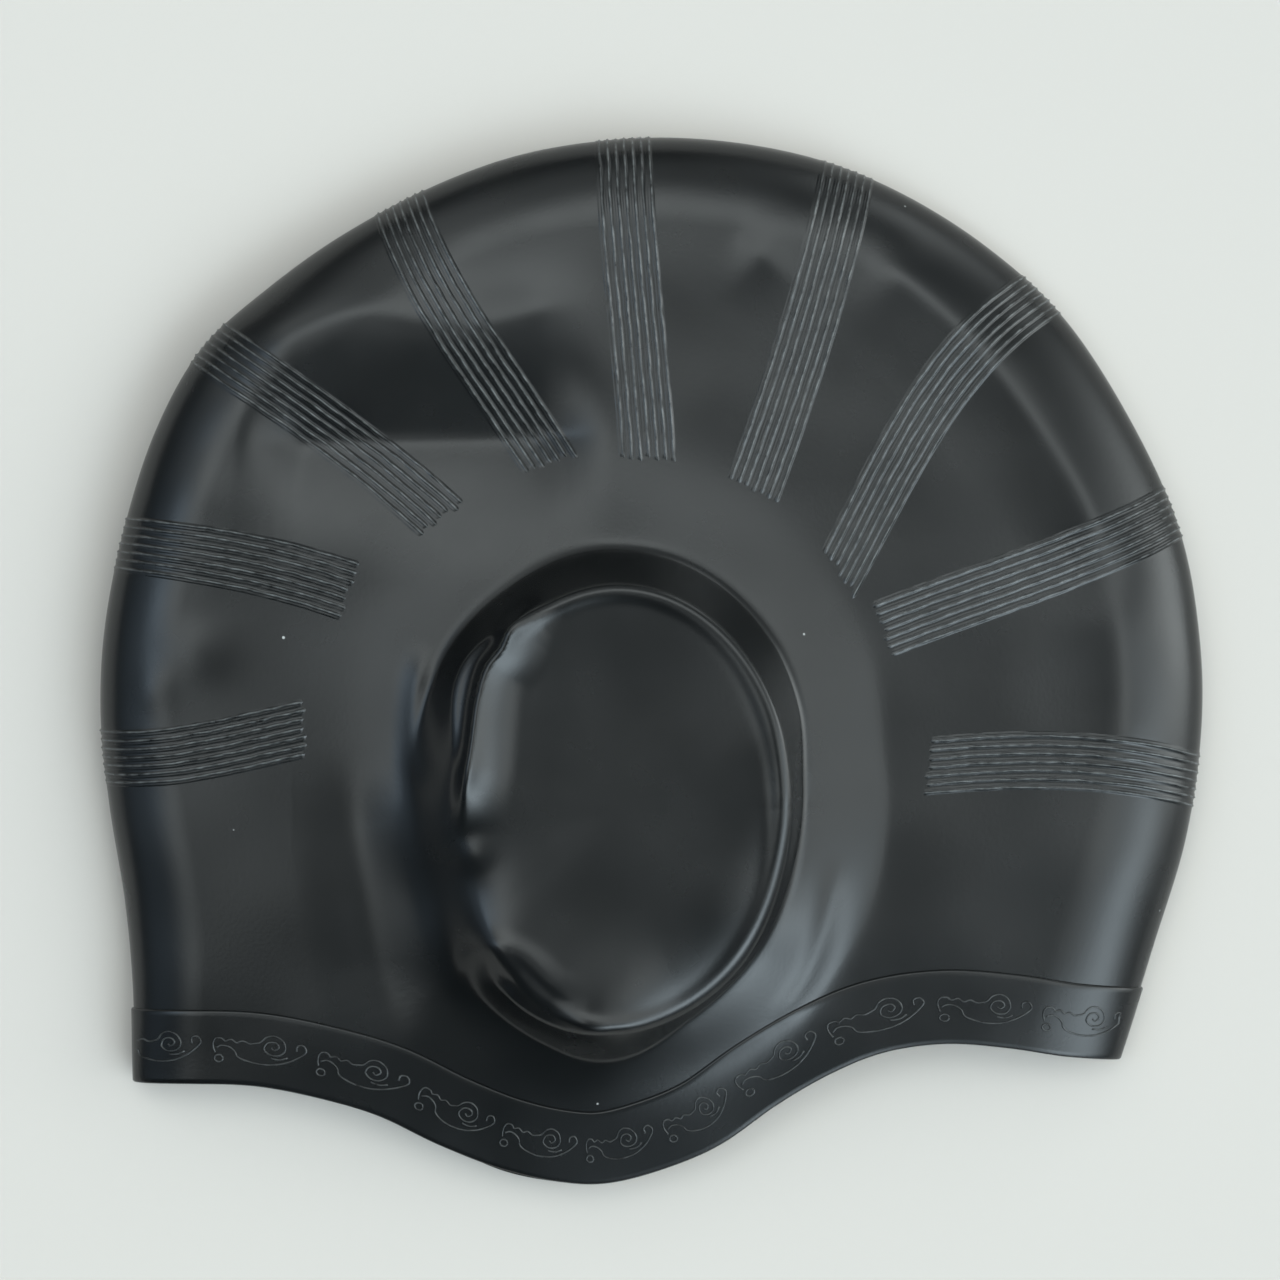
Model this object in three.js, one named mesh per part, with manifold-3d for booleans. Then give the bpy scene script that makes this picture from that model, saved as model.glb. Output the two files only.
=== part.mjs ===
// A moulded silicone swim cap with ear pockets, lying flat on one side.
// Millimetres, +Z up. The crown fold is towards +Y and the hem, where the head goes in, towards -Y.
// The cap is one hollow moulding. It folds into an upper and a lower face, which meet along the fold line.
// Each face is laid out in rings around the middle of its ear pocket, and the hem is cut through both.
import * as THREE from "three";
import { mergeVertices } from "three/addons/utils/BufferGeometryUtils.js";
import Module from "manifold-3d";

// Overall size and wall
const CAP_WIDTH = 230; // across the fold line, left to right
const CAP_LENGTH = 218; // from the crown fold to the lowest point of the hem
const WALL = 1.0; // silicone thickness

// Heights above the surface that the cap lies on
const FOLD_HEIGHT = 5.5; // the fold line
const FACE_RISE = 11.5; // from the fold line up to the upper face
const DOME_RISE = 3; // extra swell of the upper face towards its middle
const HEM_FALL = 8; // how far the upper face comes down towards the hem
const LOWER_LIFT = 3.5; // how far the lower face stands off the surface between its flattened pocket and the fold
const EDGE_LIFT = 0.5; // and beside the fold line, which leaves its ribs room
const HEM_LIFT = 1.0; // and more at the hem, which leaves its band and scrolls room

// How far in from the fold line each face takes to round over
const ROLL_TOP = 12;
const ROLL_RIGHT = 20;
const ROLL_LEFT = 15;
const ROLL_UNDER = 7;

// Ear pocket: an oval plateau with a steep wall and a gentle flank
const POCKET_WIDTH = 66;
const POCKET_LENGTH = 90;
const POCKET_WALL_RISE = 8.5;
const WALL_RUN_LEFT = 11; // the wall leans out on the left
const WALL_RUN_RIGHT = 5;
const FLANK_RISE = 3.5;
const FLANK_RUN_SIDE = 19.8; // from the rim to the foot of the flank, left and right
const FLANK_RUN_END = 14; // and towards the crown and the hem
const PLATEAU_DISH = 1.5; // how far the plateau's middle sinks below its rim

// Ribs: bands of fine ridges that run from pocket to pocket over the fold
const BAND_WIDTH = 10.6;
const RIDGES_PER_BAND = 4;
const RIDGE_HEIGHT = 0.4;
const RIDGE_END = 1.2; // length over which a ridge rises from nothing

// Hem: a thicker band with a row of raised scrolls
const HEM_BAND = 15; // width of the band
const HEM_STEP = 0.5; // how far the band stands out of the face
const SCROLL_RELIEF = 0.4; // how far a scroll stands out of the band
const SCROLL_LENGTH = 16.5;
const SCROLL_WIDTH = 7.5;
const SCROLL_PITCH = 19.6;
const SCROLL_MARGIN = 15; // from each hem corner to the nearest scroll
const SCROLL_INSET = 4.2; // from the hem's edge to the scrolls' lower side

// Middle of the ear pocket, as shares of the cap's width and length
const POCKET_CENTRE = { x: -0.03, y: -0.136 };

// The fold line from the right hem corner round the crown to the left one, then on below the hem, where it is cut off.
// Shares of the cap's width and length from the middle of its box.
const FOLD_LINE = [
  { x: 0.422, y: -0.38 },
  { x: 0.454, y: -0.272 },
  { x: 0.483, y: -0.171 },
  { x: 0.497, y: -0.071 },
  { x: 0.496, y: 0.02 },
  { x: 0.479, y: 0.12 },
  { x: 0.438, y: 0.22 },
  { x: 0.375, y: 0.324 },
  { x: 0.3, y: 0.397 },
  { x: 0.212, y: 0.453 },
  { x: 0.121, y: 0.486 },
  { x: 0.012, y: 0.499 },
  { x: -0.097, y: 0.488 },
  { x: -0.187, y: 0.458 },
  { x: -0.278, y: 0.408 },
  { x: -0.35, y: 0.354 },
  { x: -0.409, y: 0.297 },
  { x: -0.45, y: 0.22 },
  { x: -0.478, y: 0.129 },
  { x: -0.496, y: 0.034 },
  { x: -0.5, y: -0.052 },
  { x: -0.492, y: -0.138 },
  { x: -0.478, y: -0.229 },
  { x: -0.471, y: -0.31 },
  { x: -0.469, y: -0.402 },
  { x: -0.464, y: -0.506 },
  { x: -0.373, y: -0.611 },
  { x: -0.047, y: -0.649 },
  { x: 0.28, y: -0.601 },
  { x: 0.384, y: -0.496 },
];

// The hem's edge from the left corner to the right one, as shares. The lower face hangs a little lower, by under.
const HEM_EDGE = [
  { x: -0.469, y: -0.4015, under: 0 },
  { x: -0.409, y: -0.4, under: 0 },
  { x: -0.355, y: -0.402, under: 0 },
  { x: -0.3, y: -0.413, under: 0 },
  { x: -0.246, y: -0.43, under: 0.001 },
  { x: -0.192, y: -0.458, under: 0.004 },
  { x: -0.137, y: -0.481, under: 0.008 },
  { x: -0.083, y: -0.494, under: 0.006 },
  { x: -0.038, y: -0.495, under: 0.003 },
  { x: 0.014, y: -0.48, under: 0 },
  { x: 0.062, y: -0.457, under: 0 },
  { x: 0.112, y: -0.419, under: 0 },
  { x: 0.16, y: -0.389, under: 0 },
  { x: 0.207, y: -0.369, under: 0 },
  { x: 0.261, y: -0.361, under: 0 },
  { x: 0.316, y: -0.365, under: 0 },
  { x: 0.37, y: -0.374, under: 0 },
  { x: 0.422, y: -0.38, under: 0 },
];

// Rib bands, anticlockwise from the right: degrees round the pocket where each starts, halfway and at the fold line,
// and how far from the pocket's middle it starts, as a share of the cap's width.
const RIB_BANDS = [
  { start: 7.3, middle: 5.7, end: 2.3, reach: 0.27 },
  { start: 34, middle: 29.3, end: 27.8, reach: 0.274 },
  { start: 46.3, middle: 52, end: 50.3, reach: 0.285 },
  { start: 67, middle: 68.4, end: 70.2, reach: 0.301 },
  { start: 85.1, middle: 88.3, end: 89.7, reach: 0.305 },
  { start: 101.1, middle: 108.2, end: 110.1, reach: 0.302 },
  { start: 121.5, middle: 127.6, end: 131.9, reach: 0.294 },
  { start: 141.2, middle: 147.5, end: 152.6, reach: 0.292 },
  { start: 165.8, middle: 172.5, end: 174.8, reach: 0.277 },
];

// Folds and dents of the upper face: middle, direction in degrees, length along it, widths to its left and right,
// and rise, all as shares of the cap's width but y, a share of its length.
const FACE_FOLDS = [
  { x: -0.2, y: 0.213, turn: 0, length: 0.19, left: 0.06, right: 0.045, rise: -0.016 }, // valley of the crown fold
  { x: -0.24, y: 0.323, turn: 8, length: 0.14, left: 0.04, right: 0.04, rise: 0.009 }, // its ridge
  { x: 0.1, y: 0.32, turn: -60, length: 0.05, left: 0.03, right: 0.04, rise: -0.006 }, // crease right of the top band
  { x: -0.115, y: -0.075, turn: 75, length: 0.09, left: 0.025, right: 0.04, rise: -0.013 }, // trough in the pocket
  { x: -0.1, y: -0.27, turn: -27, length: 0.05, left: 0.03, right: 0.025, rise: -0.011 }, // curl at its lower left
];

// One scroll's outline along and across the hem, as shares of its length and width: a hooked tail, a long body
// that thins to a stem, and a round curl.
const SCROLL_OUTLINE = [
  { along: 0, across: 0.62 },
  { along: 0.02, across: 0.9 },
  { along: 0.12, across: 0.94 },
  { along: 0.28, across: 0.74 },
  { along: 0.44, across: 0.72 },
  { along: 0.52, across: 0.94 },
  { along: 0.64, across: 1 },
  { along: 0.74, across: 0.84 },
  { along: 0.72, across: 0.54 },
  { along: 0.86, across: 0.5 },
  { along: 0.9, across: 0.76 },
  { along: 1, across: 0.62 },
  { along: 0.95, across: 0.22 },
  { along: 0.66, across: 0 },
  { along: 0.36, across: 0.16 },
  { along: 0.14, across: 0.6 },
];
const SCROLL_BEAD = { along: 0.05, across: 0.24, radius: 1, sides: 6 }; // beside its tail, with its radius in mm

// How finely the faces are laid out
const POCKET_COLUMNS = 44;
const HEM_COLUMNS = 18;
const GAP_COLUMNS = 3;
const FOLD_STEPS = 12; // samples between two points of the fold line
const HEM_STEPS = 3; // samples between two points of the hem's edge
const FIELD_SHARES = [0.33, 0.67, 1]; // rings between the rib starts and the roll
const ROLL_TURNS = [0.35, 0.7, 1]; // rings over the roll, as shares of its quarter turn

const wasm = await Module();
wasm.setup();

const UPPER = 1;
const LOWER = -1;
const DEGREE = Math.PI / 180;
const SLOPE_STEP = 1e-3; // for measuring slopes
const FAR = 3 * CAP_WIDTH; // further out than the cap reaches

const mix = THREE.MathUtils.lerp;
const smooth = (value) => THREE.MathUtils.smoothstep(value, 0, 1);
const place = (row) => new THREE.Vector2(row.x * CAP_WIDTH, row.y * CAP_LENGTH);
const centre = place(POCKET_CENTRE);

// A smooth curve through the rows, as closely spaced points in plan.
function curveThrough(points, closed, steps) {
  const flat = points.map((point) => new THREE.Vector3(point.x, point.y, 0));
  const curve = new THREE.CatmullRomCurve3(flat, closed, "catmullrom", 0.5);
  return curve.getPoints(points.length * steps).map((point) => new THREE.Vector2(point.x, point.y));
}

// The fold line as distances from the pocket's middle, by angle.
const foldLinePolar = curveThrough(FOLD_LINE.map(place), true, FOLD_STEPS)
  .map((point) => point.sub(centre))
  .map((arm) => ({ angle: (arm.angle() + 2 * Math.PI) % (2 * Math.PI), reach: arm.length() }))
  .sort((a, b) => a.angle - b.angle);

function foldReach(angle) {
  const turn = THREE.MathUtils.euclideanModulo(angle, 2 * Math.PI);
  let next = foldLinePolar.findIndex((row) => row.angle > turn);
  if (next === -1) next = foldLinePolar.length;
  const before = foldLinePolar[(next + foldLinePolar.length - 1) % foldLinePolar.length];
  const after = foldLinePolar[next % foldLinePolar.length];
  const span = THREE.MathUtils.euclideanModulo(after.angle - before.angle, 2 * Math.PI);
  const along = THREE.MathUtils.euclideanModulo(turn - before.angle, 2 * Math.PI);
  return span > 0 ? mix(before.reach, after.reach, along / span) : before.reach;
}

const rimReach = (angle) =>
  1 / Math.hypot(Math.cos(angle) / (POCKET_WIDTH / 2), Math.sin(angle) / (POCKET_LENGTH / 2));

const wallRun = (angle) => mix(WALL_RUN_LEFT, WALL_RUN_RIGHT, (1 + Math.cos(angle)) / 2);

const flankRun = (angle) => mix(FLANK_RUN_END, FLANK_RUN_SIDE, Math.cos(angle) ** 2);

const flankReach = (angle) => rimReach(angle) + flankRun(angle);

// How far in from the fold line a face is still rounding over.
function rollRun(face, angle) {
  if (face === LOWER) return ROLL_UNDER;
  const side = Math.cos(angle) > 0 ? ROLL_RIGHT : ROLL_LEFT;
  return mix(ROLL_TOP, side, Math.cos(angle) ** 2);
}

// How much of the pocket's height is reached, from 1 on its rim to 0 at the foot of its flank.
function pocketRise(angle, reach) {
  const beyond = reach - rimReach(angle);
  const wall = 1 - smooth(beyond / wallRun(angle));
  const flank = 1 - smooth(beyond / flankRun(angle));
  return { wall, flank };
}

// Height that the folds and dents add at a place on the upper face.
function foldRise(spot) {
  return FACE_FOLDS.reduce((sum, fold) => {
    const arm = spot.clone().sub(place(fold)).rotateAround(new THREE.Vector2(), -fold.turn * DEGREE);
    const width = (arm.y > 0 ? fold.left : fold.right) * CAP_WIDTH;
    const fade = Math.exp(-((arm.x / (fold.length * CAP_WIDTH)) ** 2));
    return sum + (fold.rise * CAP_WIDTH * fade) / Math.cosh((1.5 * arm.y) / width);
  }, 0);
}

// Share of the way down to the hem, from 0 beside the pocket to 1 at the hem's lowest point.
const hemShare = (spot) => smooth((centre.y - spot.y) / (centre.y + CAP_LENGTH / 2));

// Height of the upper face above the fold line, before it rounds over.
function upperRise(spot, angle, reach) {
  const pocket = pocketRise(angle, reach);
  const across = reach / foldReach(angle);
  const dish = PLATEAU_DISH * Math.max(0, 1 - (reach / rimReach(angle)) ** 2);
  return (
    FACE_RISE +
    DOME_RISE * (1 - across ** 2) -
    HEM_FALL * hemShare(spot) +
    POCKET_WALL_RISE * pocket.wall +
    FLANK_RISE * pocket.flank -
    dish +
    foldRise(spot)
  );
}

// Height of the lower face below the fold line. The cap rests on its flattened pocket.
function lowerRise(spot, angle, reach) {
  const inside = foldReach(angle) - ROLL_UNDER - reach;
  const stands = LOWER_LIFT * smooth(inside / (2 * ROLL_RIGHT)) * (1 - hemShare(spot));
  const lift = EDGE_LIFT + stands + HEM_LIFT * hemShare(spot);
  return FOLD_HEIGHT - lift * (1 - pocketRise(angle, reach).wall);
}

// A point of a face. Past 1, turn carries it from the inner end of the roll to the fold line at 2.
function facePoint(face, angle, turn) {
  const outer = foldReach(angle);
  const run = rollRun(face, angle);
  const quarter = (Math.max(0, turn - 1) * Math.PI) / 2;
  const reach = turn < 1 ? turn * (outer - run) : outer - run * (1 - Math.sin(quarter));
  const spot = new THREE.Vector2(Math.cos(angle), Math.sin(angle)).multiplyScalar(reach).add(centre);
  const rise = (face === UPPER ? upperRise : lowerRise)(spot, angle, reach) * Math.cos(quarter);
  return new THREE.Vector3(spot.x, spot.y, FOLD_HEIGHT + face * rise);
}

// The same point moved out of the face by offset, square to it.
function offsetPoint(face, angle, turn, offset) {
  const point = facePoint(face, angle, turn);
  if (offset === 0) return point;
  if (turn === 0) return point.add(new THREE.Vector3(0, 0, face * offset));
  const round = facePoint(face, angle + SLOPE_STEP, turn).sub(facePoint(face, angle - SLOPE_STEP, turn));
  const out = facePoint(face, angle, turn + SLOPE_STEP).sub(facePoint(face, angle, turn - SLOPE_STEP));
  return point.addScaledVector(out.cross(round).normalize(), face * offset);
}

// The angle of a rib band's middle line at a share of its way from its start to the fold line.
function bandAngle(band, share) {
  const [a, b, c] = [band.start, band.middle, band.end];
  return (a + share * (4 * b - 3 * a - c) + share ** 2 * (2 * a + 2 * c - 4 * b)) * DEGREE;
}

// How far from the pocket's middle the ribs start, at any angle.
function ribReach(angle) {
  const turn = THREE.MathUtils.euclideanModulo(angle / DEGREE + 90, 360) - 90;
  const next = RIB_BANDS.findIndex((band) => band.start > turn);
  if (next === 0) return RIB_BANDS[0].reach * CAP_WIDTH;
  if (next === -1) return RIB_BANDS.at(-1).reach * CAP_WIDTH;
  const [before, after] = [RIB_BANDS[next - 1], RIB_BANDS[next]];
  const share = (turn - before.start) / (after.start - before.start);
  return mix(before.reach, after.reach, share) * CAP_WIDTH;
}

// Columns of one ring outside the pocket: the ridges of each band, the gaps between bands, then the hem side.
function ribColumns(share, lift) {
  const columns = [];
  const feet = 2 * RIDGES_PER_BAND;
  const edges = RIB_BANDS.map((band) => {
    const middle = bandAngle(band, share);
    const reach = mix(ribReach(middle), foldReach(middle), share);
    return { middle, half: BAND_WIDTH / 2 / reach };
  });
  const spread = (from, to, count) => {
    for (let i = 1; i <= count; i += 1) columns.push({ angle: mix(from, to, i / (count + 1)), lift: 0 });
  };
  edges.forEach((edge, k) => {
    for (let i = 0; i <= feet; i += 1) {
      const angle = edge.middle + edge.half * ((2 * i) / feet - 1);
      columns.push({ angle, lift: i % 2 ? lift : 0 });
    }
    const next = edges[k + 1];
    if (next) spread(edge.middle + edge.half, next.middle - next.half, GAP_COLUMNS);
  });
  const last = edges.at(-1);
  spread(last.middle + last.half, edges[0].middle - edges[0].half + 2 * Math.PI, HEM_COLUMNS);
  return columns;
}

const evenColumns = Array.from({ length: POCKET_COLUMNS }, (_, i) => ({
  angle: (i * 2 * Math.PI) / POCKET_COLUMNS,
  lift: 0,
}));

// Rings of a face from the pocket's middle out to the fold line. Each holds its columns and where they lie.
function facerings(face, ribbed) {
  const inner = (angle) => foldReach(angle) - rollRun(face, angle);
  const turnAt = (reach) => (angle) => reach(angle) / inner(angle);
  const pocketRings = [0.4, 0.7, 0.9, 1].map((share) => turnAt((angle) => share * rimReach(angle)));
  const wallRings = [0.25, 0.5, 0.75, 1].map((share) =>
    turnAt((angle) => rimReach(angle) + share * wallRun(angle)),
  );
  const rings = [...pocketRings, ...wallRings, turnAt(flankReach)].map((turn) => ({ turn, columns: evenColumns }));
  const columns = (share, lift) => (ribbed ? ribColumns(share, lift) : evenColumns);
  const nearFold = (angle) => rollRun(face, angle) / (foldReach(angle) - ribReach(angle));
  const starts = [
    { past: 0, lift: 0 },
    { past: RIDGE_END, lift: RIDGE_HEIGHT },
  ];
  starts.forEach(({ past, lift }) => {
    const turn = turnAt((angle) => Math.max(ribReach(angle), flankReach(angle) + RIDGE_END) + past);
    rings.push({ turn, columns: columns(0, lift) });
  });
  FIELD_SHARES.forEach((share) => {
    const turn = (angle) => mix(starts[1].past + ribReach(angle), inner(angle), share) / inner(angle);
    rings.push({ turn, columns: columns(share * (1 - nearFold(Math.PI / 2)), RIDGE_HEIGHT) });
  });
  ROLL_TURNS.forEach((share) => {
    const past = 1 - nearFold(Math.PI / 2) * (1 - Math.sin((share * Math.PI) / 2));
    rings.push({ turn: () => 1 + share, columns: columns(past, RIDGE_HEIGHT) });
  });
  return rings;
}

// Triangles between two rings, by index where they hold as many points and by angle where they don't.
function joinRings(inside, outside, triangles) {
  const [n, m] = [inside.length, outside.length];
  if (n === m) {
    for (let i = 0; i < n; i += 1) {
      const j = (i + 1) % n;
      triangles.push([inside[i].index, outside[i].index, outside[j].index]);
      triangles.push([inside[i].index, outside[j].index, inside[j].index]);
    }
    return;
  }
  const angleOf = (ring, i) => ring[i % ring.length].angle + 2 * Math.PI * Math.floor(i / ring.length);
  let [i, j] = [0, 0];
  while (i < n || j < m) {
    const stepOutside = i >= n || (j < m && angleOf(outside, j + 1) <= angleOf(inside, i + 1));
    if (stepOutside) {
      triangles.push([inside[i % n].index, outside[j % m].index, outside[(j + 1) % m].index]);
      j += 1;
    } else {
      triangles.push([inside[i % n].index, outside[j % m].index, inside[(i + 1) % n].index]);
      i += 1;
    }
  }
}

// The whole closed form before the hem is cut: both faces, moved out of their place by offset.
function closedForm(offset, ribbed) {
  const positions = [];
  const triangles = [];
  const addPoint = (point) => positions.push(point.x, point.y, point.z) / 3 - 1;
  let foldRing = null;
  [UPPER, LOWER].forEach((face) => {
    const faceTriangles = [];
    const middle = addPoint(offsetPoint(face, 0, 0, offset));
    const rings = facerings(face, ribbed).map(({ turn, columns }, level, all) => {
      if (level === all.length - 1 && foldRing) return foldRing;
      return columns.map(({ angle, lift }) => ({
        angle,
        index: addPoint(offsetPoint(face, angle, turn(angle), offset + lift)),
      }));
    });
    foldRing = rings.at(-1);
    rings[0].forEach((point, i) => {
      faceTriangles.push([middle, point.index, rings[0][(i + 1) % rings[0].length].index]);
    });
    rings.slice(1).forEach((ring, i) => joinRings(rings[i], ring, faceTriangles));
    faceTriangles.forEach(([a, b, c]) => triangles.push(...(face === UPPER ? [a, b, c] : [a, c, b])));
  });
  return new wasm.Manifold(
    new wasm.Mesh({
      numProp: 3,
      vertProperties: new Float32Array(positions),
      triVerts: new Uint32Array(triangles),
    }),
  );
}

function solidFrom(geometry) {
  geometry.deleteAttribute("normal");
  geometry.deleteAttribute("uv");
  const merged = mergeVertices(geometry);
  return new wasm.Manifold(
    new wasm.Mesh({
      numProp: 3,
      vertProperties: merged.attributes.position.array,
      triVerts: new Uint32Array(merged.index.array),
    }),
  );
}

// An upright prism over a plan outline, through one face and past the fold line's height.
function prism(outline, face) {
  const [low, high] = face === UPPER ? [FOLD_HEIGHT - WALL, FAR] : [-FAR, FOLD_HEIGHT + WALL];
  const geometry = new THREE.ExtrudeGeometry(new THREE.Shape(outline), {
    depth: high - low,
    bevelEnabled: false,
    curveSegments: 1,
  });
  return solidFrom(geometry.translate(0, 0, low));
}

// The hem's edge on one face, run on straight past both corners, as closely spaced points.
function hemCurve(face) {
  const points = HEM_EDGE.map((row) => place({ x: row.x, y: row.y - (face === LOWER ? row.under : 0) }));
  const ends = [points[0].clone().sub(points[1]), points.at(-1).clone().sub(points.at(-2))];
  ends.forEach((end) => end.setLength(CAP_WIDTH / 8));
  const curve = curveThrough(points, false, HEM_STEPS);
  return [points[0].clone().add(ends[0]), ...curve, points.at(-1).clone().add(ends[1])];
}

// The left-hand side of a curve, which for the hem is towards the crown.
function sideways(curve, i) {
  const along = curve[Math.min(i + 1, curve.length - 1)].clone().sub(curve[Math.max(i - 1, 0)]);
  return new THREE.Vector2(-along.y, along.x).normalize();
}

const offsetCurve = (curve, distance) =>
  curve.map((point, i) => point.clone().addScaledVector(sideways(curve, i), distance));

// Everything that lies below a line set in from the hem's edge, on both faces.
function hemSide(inset) {
  const [above, under] = [UPPER, LOWER].map((face) => {
    const curve = offsetCurve(hemCurve(face), inset);
    const below = [new THREE.Vector2(curve.at(-1).x, -FAR), new THREE.Vector2(curve[0].x, -FAR)];
    return prism([...curve, ...below].reverse(), face);
  });
  return above.add(under);
}

// A place on the hem band from distances along the edge and in from it.
function hemPlace(curve, lengths, along, across) {
  const last = lengths.length - 2;
  const i = Math.min(last, Math.max(0, lengths.findIndex((length) => length > along) - 1));
  const share = (along - lengths[i]) / (lengths[i + 1] - lengths[i]);
  const side = sideways(curve, i).lerp(sideways(curve, i + 1), share);
  return curve[i].clone().lerp(curve[i + 1], share).addScaledVector(side, across);
}

// Prisms over the scrolls of one face.
function scrollPrisms(face) {
  const curve = hemCurve(face).slice(1, -1);
  const lengths = [0];
  curve.slice(1).forEach((point, i) => lengths.push(lengths[i] + point.distanceTo(curve[i])));
  const room = lengths.at(-1) - 2 * SCROLL_MARGIN - SCROLL_LENGTH;
  const count = Math.floor(room / SCROLL_PITCH) + 1;
  const bead = Array.from({ length: SCROLL_BEAD.sides }, (_, i) => {
    const turn = (-i * 2 * Math.PI) / SCROLL_BEAD.sides;
    return {
      along: SCROLL_BEAD.along + (SCROLL_BEAD.radius * Math.cos(turn)) / SCROLL_LENGTH,
      across: SCROLL_BEAD.across + (SCROLL_BEAD.radius * Math.sin(turn)) / SCROLL_WIDTH,
    };
  });
  const prisms = [];
  for (let k = 0; k < count; k += 1) {
    const start = SCROLL_MARGIN + k * SCROLL_PITCH;
    [SCROLL_OUTLINE, bead].forEach((outline) => {
      const plan = outline.map(({ along, across }) =>
        hemPlace(curve, lengths, start + along * SCROLL_LENGTH, SCROLL_INSET + across * SCROLL_WIDTH),
      );
      prisms.push(prism(plan, face));
    });
  }
  return prisms;
}

// The cap: both faces with their ribs, the thicker hem band and its scrolls, hollowed and open at the hem.
function capSolid() {
  const band = closedForm(HEM_STEP, false).intersect(hemSide(HEM_BAND));
  const scrollForm = closedForm(HEM_STEP + SCROLL_RELIEF, false);
  const scrolls = [UPPER, LOWER].flatMap(scrollPrisms).map((scroll) => scrollForm.intersect(scroll));
  const outside = scrolls.reduce((sum, scroll) => sum.add(scroll), closedForm(0, true).add(band));
  return outside.subtract(closedForm(-WALL, false)).subtract(hemSide(0));
}

function geometryOf(solid) {
  const mesh = solid.getMesh();
  const geometry = new THREE.BufferGeometry();
  geometry.setAttribute("position", new THREE.BufferAttribute(mesh.vertProperties, 3));
  geometry.setIndex(new THREE.BufferAttribute(mesh.triVerts, 1));
  return geometry;
}

const silicone = new THREE.MeshStandardMaterial({ color: 0x1b1d1e, roughness: 0.35, metalness: 0 });
const capGeometry = geometryOf(capSolid());
capGeometry.computeVertexNormals();
capGeometry.computeBoundingBox();

// The origin is under the middle of the cap, on the surface that it lies on.
const box = capGeometry.boundingBox;
const cap = new THREE.Mesh(capGeometry, silicone);
cap.name = "swim_cap";
cap.position.set(-(box.min.x + box.max.x) / 2, -(box.min.y + box.max.y) / 2, -box.min.z);

const part = new THREE.Group();
part.add(cap);

export default part;
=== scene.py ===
"""The looks of a black silicone swim cap that lies flat, seen from straight above."""

import math

import bpy
import numpy as np
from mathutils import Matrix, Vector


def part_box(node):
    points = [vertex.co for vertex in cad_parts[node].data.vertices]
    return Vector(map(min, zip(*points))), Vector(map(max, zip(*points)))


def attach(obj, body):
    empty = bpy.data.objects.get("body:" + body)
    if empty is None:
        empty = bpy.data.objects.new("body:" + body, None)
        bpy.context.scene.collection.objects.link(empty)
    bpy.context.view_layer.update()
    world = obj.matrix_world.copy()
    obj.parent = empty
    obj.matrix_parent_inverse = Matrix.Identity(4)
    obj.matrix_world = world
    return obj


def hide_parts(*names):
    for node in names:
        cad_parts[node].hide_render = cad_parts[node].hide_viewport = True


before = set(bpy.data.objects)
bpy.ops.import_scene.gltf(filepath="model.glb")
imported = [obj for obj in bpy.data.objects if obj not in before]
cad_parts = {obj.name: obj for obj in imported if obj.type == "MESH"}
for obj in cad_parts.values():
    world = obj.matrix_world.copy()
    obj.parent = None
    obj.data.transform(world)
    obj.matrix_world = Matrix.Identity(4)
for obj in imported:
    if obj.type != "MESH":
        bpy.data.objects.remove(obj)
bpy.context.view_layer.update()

MM = 0.001

# Sizes in millimetres. The cap's own width and length come from the frame.
node_low, node_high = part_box("swim_cap")
CAP_WIDTH = (node_high.x - node_low.x) / MM
CAP_LENGTH = (node_high.y - node_low.y) / MM
WALL = 1.0

FOLD_HEIGHT = 5.5

# The upper face: its rise above the fold line, how much higher its middle is, and how much lower its hem
FACE_RISE = 11.5
DOME_RISE = 3.0
HEM_FALL = 8.0

# How far the lower face lifts off the table: well inside, along its edge, and at the hem
LOWER_LIFT = 3.5
EDGE_LIFT = 0.5
HEM_LIFT = 1.0

# Width of the roll that carries a face round to the fold line
ROLL_TOP = 19.0
ROLL_RIGHT = 22.0
ROLL_LEFT = 17.0
ROLL_UNDER = 7.0

# The ear pocket: its reach from its middle to the left and right, its length and rise, how rounded the
# corners of its flank are on the left and on the right, and how deep its top is dished
POCKET_LEFT = 33.0
POCKET_RIGHT = 35.0
POCKET_LENGTH = 90.0
POCKET_RISE = 13.8
FLANK_SOFT = 0.45
FLANK_CRISP = 0.06
PLATEAU_DISH = 2.7
DISH_BEND = 3  # how late the dish bends up to the rim
LIP_WIDTH = 1.5
LIP_WIDTH_RIGHT = 2.2
LIP_INSET = 0.92  # in its own widths
SINK_BEND = 5  # how late the top bends down to a rim that sinks

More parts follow.
